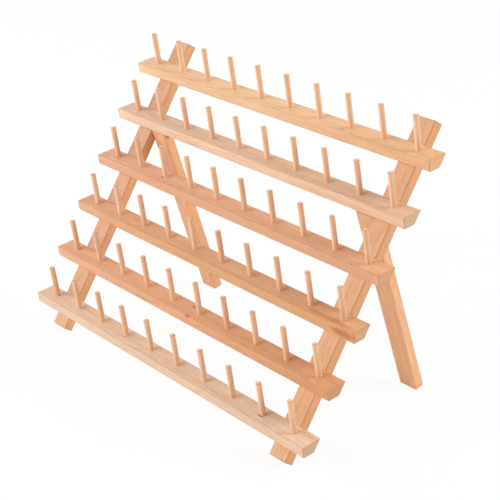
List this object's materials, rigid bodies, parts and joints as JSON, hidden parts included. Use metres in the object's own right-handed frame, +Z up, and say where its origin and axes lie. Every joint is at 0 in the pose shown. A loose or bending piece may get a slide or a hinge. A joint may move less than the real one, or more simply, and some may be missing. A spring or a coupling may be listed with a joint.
{
  "type": "spool holder",
  "caption": "Folding wooden thread rack: stepped rails of upright spool pins on leaning front legs, with hinged back legs that swing out as a stand.",
  "frame": {"origin": "on the floor, under the middle of the open rack's overall box", "axes": "+X along the rails to the right end as seen from the front, +Y to the back where the hinged legs stand, +Z up"},
  "size_m": [0.4, 0.1766, 0.2616],
  "materials": {
    "rail_wood_1": "sanded, unvarnished",
    "rail_wood_2": "sanded, unvarnished",
    "rail_wood_3": "sanded, unvarnished",
    "rail_wood_4": "sanded, unvarnished",
    "rail_wood_5": "sanded, unvarnished",
    "rail_wood_6": "sanded, unvarnished",
    "pin_wood": "sanded, unvarnished",
    "front_leg_wood": "sanded, unvarnished",
    "back_leg_wood": "sanded, unvarnished",
    "zinc_steel": "zinc plated, satin",
    "screw_steel": "yellow zinc plated, satin"
  },
  "bodies": {
    "frame": {"rail_1": "rail_wood_1", "rail_2": "rail_wood_2", "rail_3": "rail_wood_3", "rail_4": "rail_wood_4", "rail_5": "rail_wood_5", "rail_6": "rail_wood_6", "row_1_pins": "pin_wood", "row_2_pins": "pin_wood", "row_3_pins": "pin_wood", "row_4_pins": "pin_wood", "row_5_pins": "pin_wood", "row_6_pins": "pin_wood", "front_leg_left": "front_leg_wood", "front_leg_right": "front_leg_wood", "pivot_screw_left": "screw_steel", "pivot_screw_right": "screw_steel", "pivot_washer_left": "zinc_steel", "pivot_washer_right": "zinc_steel", "rail_screws_left": "screw_steel", "rail_screws_right": "screw_steel"},
    "back_leg_left": {"back_leg_left": "back_leg_wood"},
    "back_leg_right": {"back_leg_right": "back_leg_wood"}
  },
  "joints": [
    {"name": "back_leg_left_fold", "type": "hinge", "parent": "frame", "child": "back_leg_left", "pos_m": [-0.145, 0.03496, 0.17515], "axis": [-1, 0, 0], "range_deg": [0, 49.2]},
    {"name": "back_leg_right_fold", "type": "hinge", "parent": "frame", "child": "back_leg_right", "pos_m": [0.145, 0.03496, 0.17515], "axis": [-1, 0, 0], "range_deg": [0, 49.2]}
  ]
}
